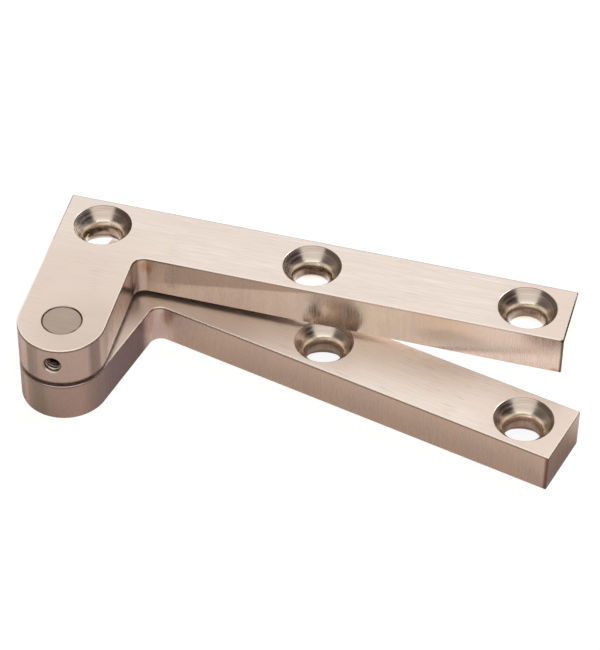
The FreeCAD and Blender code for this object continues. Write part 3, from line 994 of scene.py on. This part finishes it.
floor_bm = bmesh.new()
bmesh.ops.create_circle(floor_bm, cap_ends=True, segments=64, radius=FLOOR_RADIUS)
floor_mesh = bpy.data.meshes.new("floor")
floor_bm.to_mesh(floor_mesh)
floor_bm.free()
floor = bpy.data.objects.new("floor", floor_mesh)
floor.location.z = -FLOOR_DROP
bpy.context.scene.collection.objects.link(floor)
card, tree = new_material("white_card")
rays = put(tree, "LightPath").outputs
along_y = put(tree, "SeparateXYZ", {0: put(tree, "TexCoord").outputs["Object"]}).outputs["Y"]
shade = soft_step(tree, along_y, *SHADE_EDGE, SHADE_IN_METAL, GLOW_IN_METAL)
in_metal = calc(tree, "MAXIMUM", rays["Is Glossy Ray"], rays["Is Transmission Ray"])
to_camera = calc(tree, "MULTIPLY", rays["Is Camera Ray"], GLOW_TO_CAMERA)
strength = calc(tree, "ADD", calc(tree, "MULTIPLY", in_metal, shade), to_camera)
glow = put(tree, "Emission", {"Strength": strength})
card_color = tint(tree, rays["Is Camera Ray"], CARD, CARD_TO_CAMERA)
diffuse = put(tree, "BsdfDiffuse", {"Color": card_color})
both = put(tree, "AddShader", {0: diffuse.outputs["BSDF"], 1: glow.outputs["Emission"]})
put(tree, "OutputMaterial", {"Surface": both.outputs["Shader"]})
floor.data.materials.append(card)
print(f"floor: white card, {2 * FLOOR_RADIUS:.0f} m across")

# %% [markdown]
# ## Lights and room
# A softbox behind the hinge is what the top faces mirror, one on the photographer's side lights
# the far wall of each countersink, and a small key lamp behind draws the shadow. The room shows
# only in the rims and in the screw holes: bright low down on the photographer's side, dim
# elsewhere, and darkest to the right. The eye itself sees it white.

# %% Lights
def softbox(name, towards, distance, width, height, radiance):
    """An area light that faces the hinge from a direction, with a stated brightness of its own."""
    data = bpy.data.lights.new(name, "AREA")
    data.shape = "RECTANGLE"
    data.size, data.size_y = width, height
    data.energy = radiance * math.pi * width * height
    lamp = bpy.data.objects.new(name, data)
    bpy.context.scene.collection.objects.link(lamp)
    direction = Vector(towards).normalized()
    lamp.location = CAMERA_AIM + direction * distance
    lamp.rotation_euler = direction.to_track_quat("Z", "Y").to_euler()
    lamp.visible_camera = False


softbox("back_softbox", (-0.20, 0.66, 0.70), distance=0.9, width=1.4, height=1.3, radiance=0.94)
softbox("camera_softbox", (0.32, -0.63, 0.80), distance=1.3, width=2.05, height=1.8, radiance=0.80)
softbox("key_from_behind", (0.50, 0.55, 0.75), distance=1.3, width=0.5, height=0.5, radiance=3.5)

# %% Room
TO_FRONT = (0.471, -0.882, 0)
TO_RIGHT = (0.882, 0.471, 0)
BRIGHT_WALL = rgb(0.88, 0.88, 0.88)
DIM_WALL = rgb(0.160, 0.145, 0.135)
DARK_WALL = rgb(0.050, 0.038, 0.040)
ROOM_TO_CAMERA = rgb(0.90, 0.90, 0.90)

world = bpy.data.worlds.new("studio")
bpy.context.scene.world = world
world.use_nodes = True
tree = world.node_tree
direction = put(tree, "TexCoord").outputs["Generated"]
height = put(tree, "SeparateXYZ", {0: direction}).outputs["Z"]
front = vector_calc(tree, "DOT_PRODUCT", direction, TO_FRONT, out=1)
right = vector_calc(tree, "DOT_PRODUCT", direction, TO_RIGHT, out=1)
dark_part = calc(tree, "MULTIPLY", soft_step(tree, right, 0.50, 0.72),
                 soft_step(tree, height, 0.10, 0.24))
bright_part = calc(tree, "MULTIPLY", soft_step(tree, height, 0.26, 0.40, 1.0, 0.0),
                   soft_step(tree, front, 0.45, 0.80))
walls = tint(tree, bright_part, tint(tree, dark_part, DIM_WALL, DARK_WALL), BRIGHT_WALL)
seen = put(tree, "LightPath").outputs["Is Camera Ray"]
tree.links.new(tint(tree, seen, walls, ROOM_TO_CAMERA), tree.nodes["Background"].inputs["Color"])
bpy.context.scene.view_settings.view_transform = "Standard"
print("room:", world.name)
